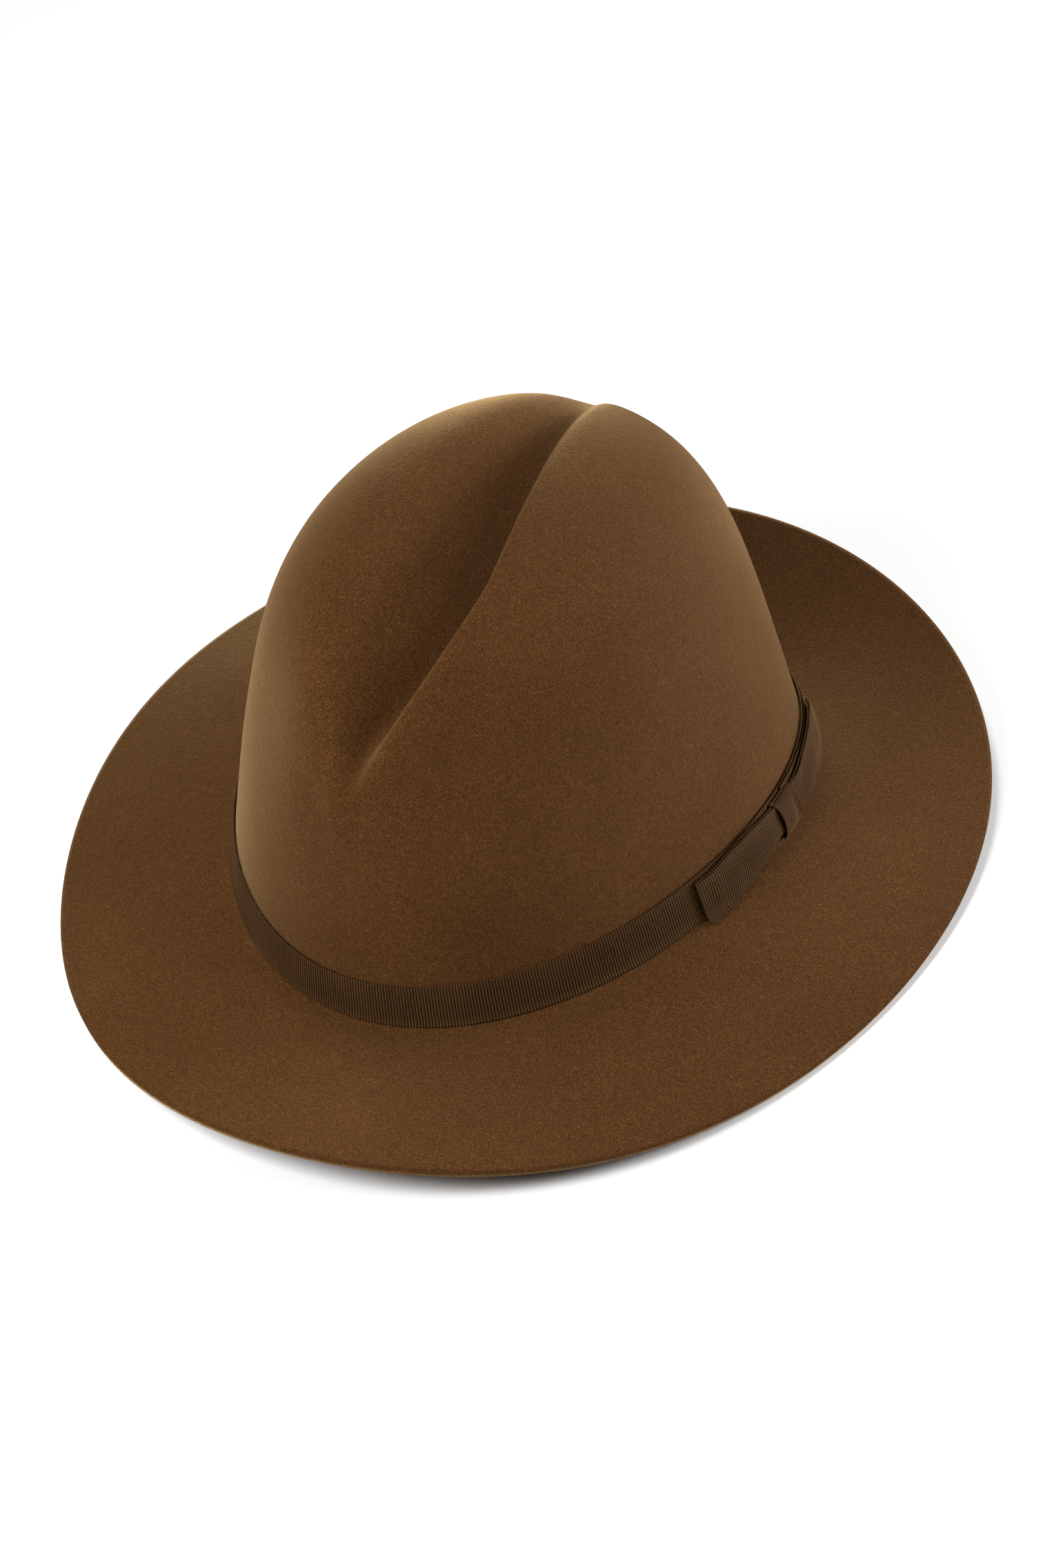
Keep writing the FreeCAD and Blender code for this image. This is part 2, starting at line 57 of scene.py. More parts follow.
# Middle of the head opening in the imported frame, and the hat's shape in millimetres
MIDDLE = Vector((1.320, 0.304, 17.677)) * MM
HALF_WIDTH = 85.0
HALF_LENGTH = 102.0
FRONT_NARROWING = 0.054
SIDE_RISE = 4.9
BACK_DIP = 2.15
FELT_THICK = 2.0
BREAK_ROUND = 2.5
BRIM_WIDTH = 56.5
BRIM_CURL = 1.25
BRIM_LEVEL = -7.7
BRIM_PITCH = 3.2
BRIM_DROOP = 6.1
BRIM_ROLL = 1.8
BRIM_WAVE = 1.7
BRIM_SQUARE = 1.8
CROWN_HEIGHT = 121.0
SIDE_TAPER = 25.6
FRONT_TAPER = 14.1
BACK_TAPER = 4.5
SIDE_FULLNESS = 7.0
END_FULLNESS = 5.1
CROWN_LEAN = 5.4
CREASE_DEPTH = 33.0
CREASE_TILT = 34.0
CREASE_LEFT = 9.2
CREASE_RIGHT = 16.0
CREASE_START = 21.0
CREASE_PEAK = 68.0
CREASE_END = 156.0
CREASE_SIDE = 6.5
CREASE_SKEW = 0.12
CREASE_CENTRE_UP = 35.0
PINCH_DEPTH = 4.0
PINCH_LEFT = 34.0
PINCH_RIGHT = 36.0
PINCH_UP = 32.0
PINCH_WIDTH = 18.0
PINCH_HEIGHT = 17.0
PINCH_RIDGE = 1.6
PINCH_RIGHT_SHARE = 0.8
RIDGE_SIDE = -3.0
RIDGE_SKEW = 0.55
RIDGE_BEND_UP = 28.0
RIDGE_WIDTH = 4.0
RIDGE_UP = 27.0
RIDGE_HEIGHT = 13.0
TAPER_HEIGHT = 100.0

# Depth, tilt, left and right width, and place to the side: the felt's crease and the lining's wider one
FELT_CREASE = (CREASE_DEPTH, CREASE_TILT, CREASE_LEFT, CREASE_RIGHT, CREASE_SIDE)
LINING_CREASE = (34.0, 0.0, 27.0, 27.0, 14.0)

# Rows of points down the felt's outside, the points in a row, and the finer table of distances
TIP_ROWS = 60
WALL_ROWS = 44
BREAK_ROWS = 6
BRIM_ROWS = 40
TURNOVER = 0.77
FELT_POINTS = 360
RING_POINTS = 300
LINING_POINTS = 360
PATCH_POINTS = 120
TABLE_STEPS = 4320

# The ribbon band and its bow
BAND_LOW = 1.0
BAND_WIDTH = 12.8
BAND_MIDDLE = BAND_LOW + BAND_WIDTH / 2
BAND_FACE = 0.95
LAYER_GAP = 0.25
RIB_PITCH = 0.95
RIB_HEIGHT = 0.26
RIB_STEPS = 4
PICOT = 0.022
SELVEDGE = (0.88, 1.0)
SELVEDGE_RELIEF = 0.35
ACROSS = (-1.0, -0.95, -0.88, -0.6, -0.3, 0.0, 0.3, 0.6, 0.88, 0.95, 1.0)
BOW_TURN = math.radians(9.0)
KNOT_LENGTH = 13.0
KNOT_OVERLAP = 4.0
FRONT_LOOP_LENGTH = 46.0
BACK_LOOP_LENGTH = 50.0
TAIL_LENGTH = 60.0
TACK_TURN = math.radians(-37.0)

# The sweatband and the lining, as depths inside the outside of the felt
SWEAT_BACK = 3.5
SWEAT_FACE = 4.4
SWEAT_LOW = 1.0
SWEAT_WIDTH = 36.0
LOCK_COUNT = 72
LOCK_LIFT = 4.0
REED_RADIUS = 0.8
WELT_THICK = 0.4
TAPE_WIDTH = 9.0
TAPE_THICK = 0.3
SMALL_BOW_LENGTH = 34.0
LINING_NEAR = 2.8
LINING_FAR = 3.2
LINING_START = 0.26
LINING_SEAM = 0.535
PIPING_RADIUS = 0.8
PIPING_SIDES = 10
PATCH_HALF_LENGTH = 30.0
PATCH_THICK = 0.3


# ---------------------------------------------------------------- the shape of the felt

def smooth_step(share):
    share = min(1.0, max(0.0, share))
    return share * share * (3 - 2 * share)


def break_height(turn):
    return SIDE_RISE * math.cos(2 * turn) - BACK_DIP * math.sin(turn)


def crown_section(turn, height, width_share, length_share):
    up = height / TAPER_HEIGHT
    taper = FRONT_TAPER if math.sin(turn) < 0 else BACK_TAPER
    x = (HALF_WIDTH - SIDE_TAPER * up) * width_share * math.cos(turn)
    x *= 1 + FRONT_NARROWING * math.sin(turn)
    y = (HALF_LENGTH - taper * up) * length_share * math.sin(turn)
    return Vector((x - CROWN_LEAN * up, y, height))


def bell(distance, width):
    return math.exp(-(distance / width) ** 2)


def pinch(across, angle):
    """How far the fingers' hollows sink beside the crease's front end, less the ridge between."""
    up = bell(angle - PINCH_UP, PINCH_HEIGHT)
    left = bell(across - PINCH_LEFT, PINCH_WIDTH)
    right = PINCH_RIGHT_SHARE * bell(across + PINCH_RIGHT, PINCH_WIDTH)
    ridge_place = RIDGE_SIDE - RIDGE_SKEW * max(0.0, angle - RIDGE_BEND_UP)
    ridge = bell(across - ridge_place, RIDGE_WIDTH) * bell(angle - RIDGE_UP, RIDGE_HEIGHT)
    return PINCH_DEPTH * (left + right) * up - PINCH_RIDGE * ridge


def crease(point, form):
    """Press a crease and the pinch into the crown, towards a line across the hat inside it."""
    depth, tilt, left, right, side = form
    up = point.z - CREASE_CENTRE_UP
    radius = math.hypot(point.y, up)
    angle = math.degrees(math.atan2(up, -point.y))
    across = point.x + CROWN_LEAN * point.z / TAPER_HEIGHT
    sink = pinch(across, angle) if point.y < 0 else 0.0
    aside = 0.0
    if CREASE_START < angle < CREASE_END:
        rise = math.sin(min(1.0, (angle - CREASE_START) / (CREASE_PEAK - CREASE_START)) * math.pi / 2)
        fall = smooth_step((CREASE_END - angle) / (CREASE_END - CREASE_PEAK))
        middle = side * rise - CREASE_SKEW * max(0.0, angle - CREASE_PEAK)
        width = left if across > middle else right
        width *= (0.3 + 0.7 * rise) * (0.5 + 0.5 * fall)
        dip = depth * rise * fall * bell(across - middle, width)
        lean = math.radians(tilt) * rise
        aside = dip * math.sin(lean)
        sink += dip * math.cos(lean)
    scale = (radius - sink) / radius
    return Vector((point.x + aside, point.y * scale, CREASE_CENTRE_UP + up * scale))


def wall_point(turn, share, form=FELT_CREASE):
    width_share = math.sqrt(1 - share ** SIDE_FULLNESS)
    length_share = math.sqrt(1 - share ** END_FULLNESS)
    base = break_height(turn)
    height = base + (CROWN_HEIGHT - base) * share
    return crease(crown_section(turn, height, width_share, length_share), form)


def tip_point(turn, width_share, form=FELT_CREASE):
    return wall_point(turn, (1 - width_share ** 2) ** (1 / SIDE_FULLNESS), form)


def outward(turn):
    x = math.cos(turn) / HALF_WIDTH
    y = math.sin(turn) / HALF_LENGTH
    return Vector((x, y, 0)).normalized()


def brim_edge_height(turn):
    return (BRIM_LEVEL + BRIM_PITCH * math.sin(turn) - BRIM_DROOP * math.cos(2 * turn)
            - BRIM_ROLL * math.cos(turn) - BRIM_WAVE * math.cos(3 * turn)
            + BRIM_SQUARE * math.cos(4 * turn))


def brim_point(turn, share):
    base = break_height(turn)
    rise = brim_edge_height(turn) - base
    reach = math.sqrt(BRIM_WIDTH ** 2 - rise ** 2)
    point = crown_section(turn, base, 1.0, 1.0) + outward(turn) * (reach * share)
    point.z = base + rise * share ** BRIM_CURL
    return point


def break_point(turn, bend):
    height = break_height(turn) + BREAK_ROUND * (1 - math.sin(bend))
    return crown_section(turn, height, 1.0, 1.0) + outward(turn) * (BREAK_ROUND * (1 - math.cos(bend)))


def on_wall(turn, height, offset):
    """A point beside the crown's wall: its height above the break, and its distance outwards."""
    base = break_height(turn)
    share = height / (CROWN_HEIGHT - base)
    if 0 <= height < BREAK_ROUND and offset >= 0:
        offset += BREAK_ROUND - math.sqrt(BREAK_ROUND ** 2 - (BREAK_ROUND - height) ** 2)
    if share > 0:
        corner = wall_point(turn, share)
    else:
        corner = crown_section(turn, base + height, 1.0, 1.0)
    return corner + outward(turn) * offset


def length_table():
    """Turns and the distances gone round the break at them, over one round."""
    table = [(0.0, 0.0)]
    here = on_wall(0.0, 0, 0)
    for i in range(1, TABLE_STEPS + 1):
        turn = 2 * math.pi * i / TABLE_STEPS
        after = on_wall(turn, 0, 0)
        table.append((turn, table[-1][1] + (after - here).length))
        here = after
    return table


TABLE = length_table()
DISTANCES = [gone for _, gone in TABLE]
ROUND_LENGTH = DISTANCES[-1]


def distance_at(turn):
    """The distance gone round the break at a turn."""
    rounds, rest = divmod(turn, 2 * math.pi)
    place = rest / (2 * math.pi) * (len(TABLE) - 1)
    i = min(int(place), len(TABLE) - 2)
    gone = TABLE[i][1] + (TABLE[i + 1][1] - TABLE[i][1]) * (place - i)
    return rounds * ROUND_LENGTH + gone


def turn_at(distance):
    """The turn at a distance gone round the break: the other way about from distance_at."""
    rounds, rest = divmod(distance, ROUND_LENGTH)
    i = min(max(bisect.bisect_right(DISTANCES, rest) - 1, 0), len(TABLE) - 2)
    part = (rest - DISTANCES[i]) / (DISTANCES[i + 1] - DISTANCES[i])
    return 2 * math.pi * (rounds + (i + part) / (len(TABLE) - 1))


def turns(count):
    return [2 * math.pi * i / count for i in range(count)]


def spread(first, last, count):
    return [first + (last - first) * i / (count - 1) for i in range(count)]


def felt_rows():
    """Rings of the felt's outside from the tip to the cut edge, as functions of the turn."""
    low = BREAK_ROUND / CROWN_HEIGHT
    edge = math.sqrt(1 - TURNOVER ** SIDE_FULLNESS)
    rows = [lambda turn, q=q: tip_point(turn, q) for q in spread(0.004, edge, TIP_ROWS)]
    rows += [lambda turn, u=u: wall_point(turn, u) for u in spread(TURNOVER, low + 0.01, WALL_ROWS)[1:]]
    rows += [lambda turn, b=b: break_point(turn, b) for b in spread(0, math.pi / 2, BREAK_ROWS)]
    start = BREAK_ROUND / BRIM_WIDTH
    rows += [lambda turn, f=f: brim_point(turn, f) for f in spread(start, 1.0, BRIM_ROWS)[1:]]
    return rows


def grid_of(rows, count):
    """The rows' points at evenly spaced turns."""
    return [[row(turn) for turn in turns(count)] for row in rows]


def directions(grid):
    """The outward direction at each point of a grid of rings."""
    result = []
    for i, ring in enumerate(grid):
        above = grid[max(0, i - 1)]
        below = grid[min(len(grid) - 1, i + 1)]
        result.append([(below[j] - above[j]).cross(ring[(j + 1) % len(ring)] - ring[j - 1]).normalized()
                       for j in range(len(ring))])
    return result


def moved(grid, ways, distance):
    """The grid, moved along its directions."""
    return [[p + way * distance for p, way in zip(ring, line)] for ring, line in zip(grid, ways)]


# ---------------------------------------------------------------- meshes from rows of points

def mesh_object(name, points, faces):
    """A smooth-shaded mesh from points in millimetres about the middle of the head opening."""
    mesh = bpy.data.meshes.new(name)
    mesh.from_pydata([MIDDLE + p * MM for p in points], [], faces)
    mesh.validate()
    mesh.update()
    mesh.polygons.foreach_set("use_smooth", [True] * len(mesh.polygons))
    piece = bpy.data.objects.new(name, mesh)
    bpy.context.scene.collection.objects.link(piece)
    return piece


def rings_mesh(name, rings, capped=False):
    """A closed skin through rings of the same number of points, in turn."""
    count = len(rings[0])
    points = [p for ring in rings for p in ring]
    faces = []
    last = len(rings) - 1 if capped else len(rings)
    for i in range(last):
        k = (i + 1) % len(rings)
        for j in range(count):
            n = (j + 1) % count
            faces.append((i * count + j, k * count + j, k * count + n, i * count + n))
    if capped:
        for i, way in ((0, 1), (len(rings) - 1, -1)):
            middle = len(points)
            points.append(sum(rings[i], Vector()) / count)
            for j in range(count):
                n = (j + 1) % count
                face = (middle, i * count + j, i * count + n)
                faces.append(face if way > 0 else face[::-1])
    return mesh_object(name, points, faces)


def strip_normals(grid, closed):
    """Outward directions of a grid of points that runs along a strip, then across it."""
    last = len(grid) - 1
    across = len(grid[0]) - 1
    result = []
    for i, line in enumerate(grid):
        after = grid[(i + 1) % len(grid)] if closed else grid[min(last, i + 1)]
        before = grid[i - 1] if closed else grid[max(0, i - 1)]
        result.append([(after[j] - before[j]).cross(line[min(across, j + 1)] - line[max(0, j - 1)])
                       .normalized() for j in range(across + 1)])
    return result


def ribbon(name, place, length, closed=False, thick=0.5, pitch=RIB_PITCH):
    """Grosgrain: a strip with a cord in every rib and a looped selvedge down both edges.

    place gives the strip's outer face at a distance along it and a share across it, -1 to 1.
    The attribute "rib" is 1 on a cord's crest and 0 between two cords.
    """
    ribs = max(4, round(length / pitch))
    steps = RIB_STEPS * ribs
    waves = [math.cos(2 * math.pi * i / RIB_STEPS) for i in range(steps if closed else steps + 1)]
    grid = []
    for i, wave in enumerate(waves):
        along = length * i / steps
        picot = PICOT * wave
        grid.append([place(along, v * (1 + picot) if abs(v) == 1 else v) for v in ACROSS])
    ways = strip_normals(grid, closed)
    edge = [SELVEDGE_RELIEF if abs(v) in SELVEDGE else 1.0 for v in ACROSS]
    rings = []
    for line, normals, wave in zip(grid, ways, waves):
        rib = RIB_HEIGHT / 2 * wave
        front = [p + n * rib * e for p, n, e in zip(line, normals, edge)]
        back = [p - n * (thick + rib * e) for p, n, e in zip(line, normals, edge)]
        rings.append(front + back[::-1])
    piece = rings_mesh(name, rings, capped=not closed)
    crest = piece.data.attributes.new("rib", "FLOAT", "POINT")
    for i, wave in enumerate(waves):
        for k in range(2 * len(ACROSS)):
            crest.data[i * 2 * len(ACROSS) + k].value = 0.5 + 0.5 * wave
    return piece


def capsule(start, end, radius, bow, way, sides=6, steps=7):
    """Rings of a round-ended thread from start to end, lifted by bow towards way in its middle."""
    along = (end - start).normalized()
    first = (way - along * way.dot(along)).normalized()
    second = along.cross(first)
    rings = []
    for i in range(steps):
        share = i / (steps - 1)
        size = radius * max(0.12, math.sin(math.pi * share)) ** 0.45
        centre = start.lerp(end, share) + first * (bow * math.sin(math.pi * share))
        rings.append([centre + first * (size * math.cos(2 * math.pi * k / sides))
                      + second * (size * math.sin(2 * math.pi * k / sides)) for k in range(sides)])
    return rings


def joined(name, groups):
    """One mesh from several groups of rings, each closed at its two ends."""
    points = []
    faces = []
    for rings in groups:
        start = len(points)
        count = len(rings[0])
        points += [p for ring in rings for p in ring]
        for i in range(len(rings) - 1):
            here, after = start + i * count, start + (i + 1) * count
            for j in range(count):
                n = (j + 1) % count
                faces.append((here + j, after + j, after + n, here + n))
        faces.append(tuple(start + j for j in range(count)))
        faces.append(tuple(start + (len(rings) - 1) * count + j for j in range(count))[::-1])
    return mesh_object(name, points, faces)


# ---------------------------------------------------------------- materials

def material(name):
    made = bpy.data.materials.new(name)
    made.use_nodes = True
    nodes = made.node_tree.nodes
    return made, nodes, made.node_tree.links, nodes["Principled BSDF"]


def coordinates(nodes, links, scale=(1, 1, 1)):
    source = nodes.new("ShaderNodeTexCoord")
    mapping = nodes.new("ShaderNodeMapping")
    mapping.inputs["Scale"].default_value = scale
    links.new(source.outputs["Object"], mapping.inputs["Vector"])
    return mapping.outputs["Vector"]


def noise_of(nodes, links, vector, scale, detail=3.0, roughness=0.6, distortion=0.0):
    made = nodes.new("ShaderNodeTexNoise")
    made.inputs["Scale"].default_value = scale
    made.inputs["Detail"].default_value = detail
    made.inputs["Roughness"].default_value = roughness
    made.inputs["Distortion"].default_value = distortion
    links.new(vector, made.inputs["Vector"])
    return made.outputs["Fac"]


def ramp(nodes, links, fac, stops):
    made = nodes.new("ShaderNodeValToRGB")
    elements = made.color_ramp.elements
    while len(elements) < len(stops):
        elements.new(0.5)
    for element, (place, colour) in zip(elements, stops):
        element.position = place
        element.color = (*colour, 1)
    links.new(fac, made.inputs["Fac"])
    return made.outputs["Color"]


def multiplied(nodes, links, first, second):
    made = nodes.new("ShaderNodeMix")
    made.data_type = "RGBA"
    made.blend_type = "MULTIPLY"
    made.inputs["Factor"].default_value = 1.0
    links.new(first, made.inputs[6])
    links.new(second, made.inputs[7])
    return made.outputs[2]


def bump(nodes, links, height, distance, strength=1.0, below=None):
    made = nodes.new("ShaderNodeBump")
    made.inputs["Distance"].default_value = distance
    made.inputs["Strength"].default_value = strength
    links.new(height, made.inputs["Height"])
    if below is not None:
        links.new(below, made.inputs["Normal"])
    return made.outputs["Normal"]


def felt_material():
    """Fur felt: a mottle of light and dark fibres, a soft short nap and a sheen at grazing angles."""
    made, nodes, links, shader = material("felt")
    where = coordinates(nodes, links)
    fibres = noise_of(nodes, links, where, 2100.0, 4.0, 0.7, 0.7)
    tufts = noise_of(nodes, links, where, 700.0, 2.0, 0.6, 0.8)
    clouds = noise_of(nodes, links, where, 28.0, 3.0, 0.5)
    fine = ramp(nodes, links, fibres, [(0.30, (0.023, 0.0082, 0.0019)), (0.52, (0.060, 0.0238, 0.0056)),
                                       (0.72, (0.135, 0.0600, 0.0165))])
    tufty = ramp(nodes, links, tufts, [(0.3, (0.90, 0.89, 0.88)), (0.7, (1.09, 1.09, 1.10))])
    cloudy = ramp(nodes, links, clouds, [(0.3, (0.93, 0.91, 0.88)), (0.7, (1.07, 1.08, 1.10))])
    colour = multiplied(nodes, links, fine, tufty)
    colour = multiplied(nodes, links, colour, cloudy)
    links.new(colour, shader.inputs["Base Color"])
    shader.inputs["Roughness"].default_value = 0.95
    shader.inputs["Specular IOR Level"].default_value = 0.08
    shader.inputs["Sheen Weight"].default_value = 0.8
    shader.inputs["Sheen Roughness"].default_value = 0.3
    shader.inputs["Sheen Tint"].default_value = (0.72, 0.48, 0.22, 1)
    nap = bump(nodes, links, tufts, 0.00025, 0.6)
    nap = bump(nodes, links, fibres, 0.00018, 0.9, nap)
    links.new(nap, shader.inputs["Normal"])
    return made


def ribbon_material():
    """Dark brown grosgrain: painted warm highlights on the cords' crests, painted shade between them, the
    ends of threads in both.
    """
    made, nodes, links, shader = material("ribbon")
    where = coordinates(nodes, links)
    threads = noise_of(nodes, links, where, 4200.0, 2.0, 0.6)
    shade = noise_of(nodes, links, where, 60.0, 2.0, 0.5)
    colour = ramp(nodes, links, threads, [(0.3, (0.023, 0.0106, 0.0038)), (0.55, (0.045, 0.0225, 0.0083)),
                                          (0.75, (0.082, 0.0430, 0.0170))])
    soft = ramp(nodes, links, shade, [(0.3, (0.88, 0.88, 0.88)), (0.7, (1.12, 1.12, 1.12))])
    colour = multiplied(nodes, links, colour, soft)
    # Painted light: the cords' crests are lightened into highlights and the hollows between them darkened
    # into shade, by the rib attribute.
    crest = nodes.new("ShaderNodeAttribute")
    crest.attribute_name = "rib"
    painted_cord_light_and_shade = ramp(nodes, links, crest.outputs["Fac"], [(0.2, (0.25, 0.25, 0.26)), (0.75, (1.6, 1.5, 1.3))])
    links.new(multiplied(nodes, links, colour, painted_cord_light_and_shade), shader.inputs["Base Color"])
    shader.inputs["Roughness"].default_value = 0.8
    shader.inputs["Specular IOR Level"].default_value = 0.06
    shader.inputs["Sheen Weight"].default_value = 0.03
    shader.inputs["Sheen Roughness"].default_value = 0.4
    shader.inputs["Sheen Tint"].default_value = (0.6, 0.38, 0.2, 1)
    links.new(bump(nodes, links, threads, 0.0001, 0.6), shader.inputs["Normal"])
    return made


def cloth_material(name, dark, light, scale, roughness, specular, sheen=0.0, stretch=(1, 1, 1)):
    """Woven cloth or thread: a fine mottle between two colours, with a little relief."""
    made, nodes, links, shader = material(name)
    where = coordinates(nodes, links, stretch)
    weave = noise_of(nodes, links, where, scale, 3.0, 0.6)
    broad = noise_of(nodes, links, where, 45.0, 2.0, 0.5)
    colour = ramp(nodes, links, weave, [(0.35, dark), (0.65, light)])
    soft = ramp(nodes, links, broad, [(0.3, (0.9, 0.9, 0.9)), (0.7, (1.1, 1.1, 1.1))])
    links.new(multiplied(nodes, links, colour, soft), shader.inputs["Base Color"])
    shader.inputs["Roughness"].default_value = roughness
    shader.inputs["Specular IOR Level"].default_value = specular
    shader.inputs["Sheen Weight"].default_value = sheen
    shader.inputs["Sheen Roughness"].default_value = 0.35
    links.new(bump(nodes, links, weave, 0.0001, 0.5), shader.inputs["Normal"])
    return made


def leather_material():
    """Thin tan sheepskin with a fine pebbled grain and faint clouding."""
    made, nodes, links, shader = material("leather")
    where = coordinates(nodes, links)
    cells = nodes.new("ShaderNodeTexVoronoi")
    cells.inputs["Scale"].default_value = 1100.0
    links.new(where, cells.inputs["Vector"])
    clouds = noise_of(nodes, links, where, 38.0, 4.0, 0.6)
    creases = noise_of(nodes, links, where, 260.0, 4.0, 0.65, 1.2)
    colour = ramp(nodes, links, clouds, [(0.3, (0.19, 0.090, 0.037)), (0.7, (0.27, 0.138, 0.060))])
    worn = ramp(nodes, links, creases, [(0.35, (0.86, 0.84, 0.82)), (0.6, (1.04, 1.04, 1.04))])
    links.new(multiplied(nodes, links, colour, worn), shader.inputs["Base Color"])
    shader.inputs["Roughness"].default_value = 0.48
    shader.inputs["Specular IOR Level"].default_value = 0.4
    grain = bump(nodes, links, creases, 0.0002, 0.5)
    grain = bump(nodes, links, cells.outputs["Distance"], 0.00008, 0.7, grain)
    links.new(grain, shader.inputs["Normal"])
    return made


# ---------------------------------------------------------------- the pieces

def felt(finish):
    """The felt in one sheet, crown and snap brim together."""
    grid = grid_of(felt_rows(), FELT_POINTS)
    ways = directions(grid)
    ways[0] = [sum(ways[0], Vector()).normalized()] * FELT_POINTS
    inside = moved(grid, ways, -FELT_THICK)
    piece = rings_mesh("felt", grid + inside[::-1], capped=True)
    piece.data.materials.append(finish)
    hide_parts("felt_body", "brim_front")
    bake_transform(piece)
    return piece


def finished(piece, finish, slot, *nodes):
    """Give a piece its finish, hide the CAD nodes that it stands in for, and let it ride on the hat."""
    piece.data.materials.append(finish)
    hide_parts(*nodes)
    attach(piece, HAT)
    return piece


def waver(x, seed, size):
    """A slow, fixed unevenness along x, up to about size."""
    return size * noise.noise(Vector((x, seed, 0.5)))


def band(finish):
    """The ribbon round the crown."""
    def place(along, v):
        turn = turn_at(along)
        height = BAND_MIDDLE + v * BAND_WIDTH / 2 + waver(along / 60, 3.1, 0.25)
        return on_wall(turn, height, BAND_FACE - 0.1 + waver(along / 35, 7.7 + v * 0.4, 0.08))
    piece = ribbon("hatband", place, ROUND_LENGTH, closed=True)
    finished(piece, finish, "ribbon", "hatband_ribbon")
    return piece


def loop(name, node, finish, start, length, side, inner, outer, seed, drop):
    """A bow loop: a strip that goes out from the knot, folds over and comes back under itself.

    side is -1 for the loop towards the front. inner and outer are its two layers' offsets.
    """
    fold = (outer - inner) / 2
    straight = length - fold
    total = 2 * straight + math.pi * fold

    def path(along):
        """How far along the wall, and at what offset, the strip is."""
        if along < straight:
            return along, outer
        if along < straight + math.pi * fold:
            bend = (along - straight) / fold
            return straight + fold * math.sin(bend), inner + fold + fold * math.cos(bend)
        return total - along, inner

    def place(along, v):
        gone, offset = path(along)
        share = gone / length
        wide = BAND_WIDTH / 2 * (0.70 + 0.30 * smooth_step(share / 0.55))
        middle = BAND_MIDDLE + 0.5 - (drop + 0.5) * smooth_step((share - 0.35) / 0.6)
        height = middle + v * wide + waver(gone / 9, seed + v * 0.6, 0.35)
        height = max(height, 0.15)
        puff = 0.35 * math.sin(math.pi * min(1.0, share)) + waver(gone / 7, seed + 4 + v * 0.9, 0.55)
        if offset > inner + fold:
            offset += max(-0.1, puff) + 0.25 * (1 - v * v)
        skew = 0.9 * v * math.sin(2.2 * share + seed) + 0.6 * v * v + waver(gone / 6, seed + 9 + v, 0.7)
        skew *= min(1.0, (1 - share) * 5, share * 6) if share < 1 else 0.0
        return on_wall(turn_at(start + side * (gone + skew)), height, offset)

    def mirrored(along, v):
        return place(along, v if side > 0 else -v)

    piece = ribbon(name, mirrored, total, thick=0.38)
    finished(piece, finish, "ribbon", node)
    return piece


def knot(finish):
    """The short strip wrapped up and over both loops, puckered where it is pulled tight."""
    start = distance_at(BOW_TURN) - KNOT_LENGTH / 2
    low, high = 1.5, 13.0
    near, far = BAND_FACE + 0.45, BAND_FACE + 3.5
    length = 19.0

    def place(along, v):
        share = along / length
        bend = math.pi * share
        height = (low + high) / 2 - (high - low) / 2 * math.cos(bend)
        offset = near + (far - near) * math.sin(bend) ** 0.45
        pull = 1 - 0.16 * math.sin(math.pi * share)
        pucker = 0.42 * math.sin(5.2 * v + 1.3 * math.sin(3 * share)) + waver(v * 3, share * 2, 0.5)
        offset += pucker * math.sin(bend)
        return on_wall(turn_at(start + KNOT_LENGTH / 2 * (1 - v * pull)), height, offset)

    piece = ribbon("bow_wrap", place, length, thick=0.38)
    finished(piece, finish, "ribbon", "bow_knot")
    return piece


def tail(finish):
    """The ribbon's end, laid under the back loop, with a notch cut in it."""
    start = distance_at(BOW_TURN) + KNOT_LENGTH / 2 - KNOT_OVERLAP
    length = TAIL_LENGTH - KNOT_LENGTH / 2 + KNOT_OVERLAP

    def place(along, v):
        share = along / length
        height = BAND_MIDDLE + 0.6 + v * (5.9 - 0.7 * share) + waver(along / 10, 31 + v, 0.2)
        notch = 2.2 * (1 - abs(v)) * smooth_step((share - 0.9) / 0.1)
        return on_wall(turn_at(start + along - notch), height, BAND_FACE + LAYER_GAP + 0.45)

    piece = ribbon("bow_end", place, length, thick=0.36)
    finished(piece, finish, "ribbon", "bow_tail")
    return piece


def bow(finish):
    """The flat bow: two loops, the knot over them and the end below."""
    middle = distance_at(BOW_TURN)
    under = BAND_FACE + LAYER_GAP + 0.42
    loop("bow_loop_front", "bow_front_loop", finish, middle - KNOT_LENGTH / 2 + KNOT_OVERLAP,
         FRONT_LOOP_LENGTH, -1, under, under + 0.95, 2.0, 1.0)
    loop("bow_loop_back", "bow_back_loop", finish, middle + KNOT_LENGTH / 2 - KNOT_OVERLAP,
         BACK_LOOP_LENGTH, 1, under + 0.75, under + 1.6, 12.0, 0.4)
    knot(finish)
    tail(finish)


def outer_stitches(finish):
    """Two small tacks through the band, and two that catch the front loop's folded end."""
    groups = []
    offset = BAND_FACE + LAYER_GAP + 0.1
    here = distance_at(TACK_TURN)
    for side in (-1, 1):
        turn = turn_at(here + side * 1.1)
        low = on_wall(turn, 8.1 + side * 0.3, offset)
        high = on_wall(turn_at(here + side * 1.1 + 0.4), 9.8 + side * 0.3, offset)
        groups.append(capsule(low, high, 0.2, 0.15, outward(turn)))
    finished(joined("tack_stitches", groups), finish, "dark_thread", "ribbon_tack_stitches")
    groups = []
    end = distance_at(BOW_TURN) - KNOT_LENGTH / 2 + KNOT_OVERLAP - FRONT_LOOP_LENGTH
    turn = turn_at(end)
    for height in (4.2, 10.6):
        near = on_wall(turn_at(end - 1.5), height, offset)
        far = on_wall(turn_at(end + 0.1), height, offset)
        groups.append(capsule(near, far, 0.2, 0.15, outward(turn)))
    finished(joined("loop_stitches", groups), finish, "dark_thread", "bow_stitches")


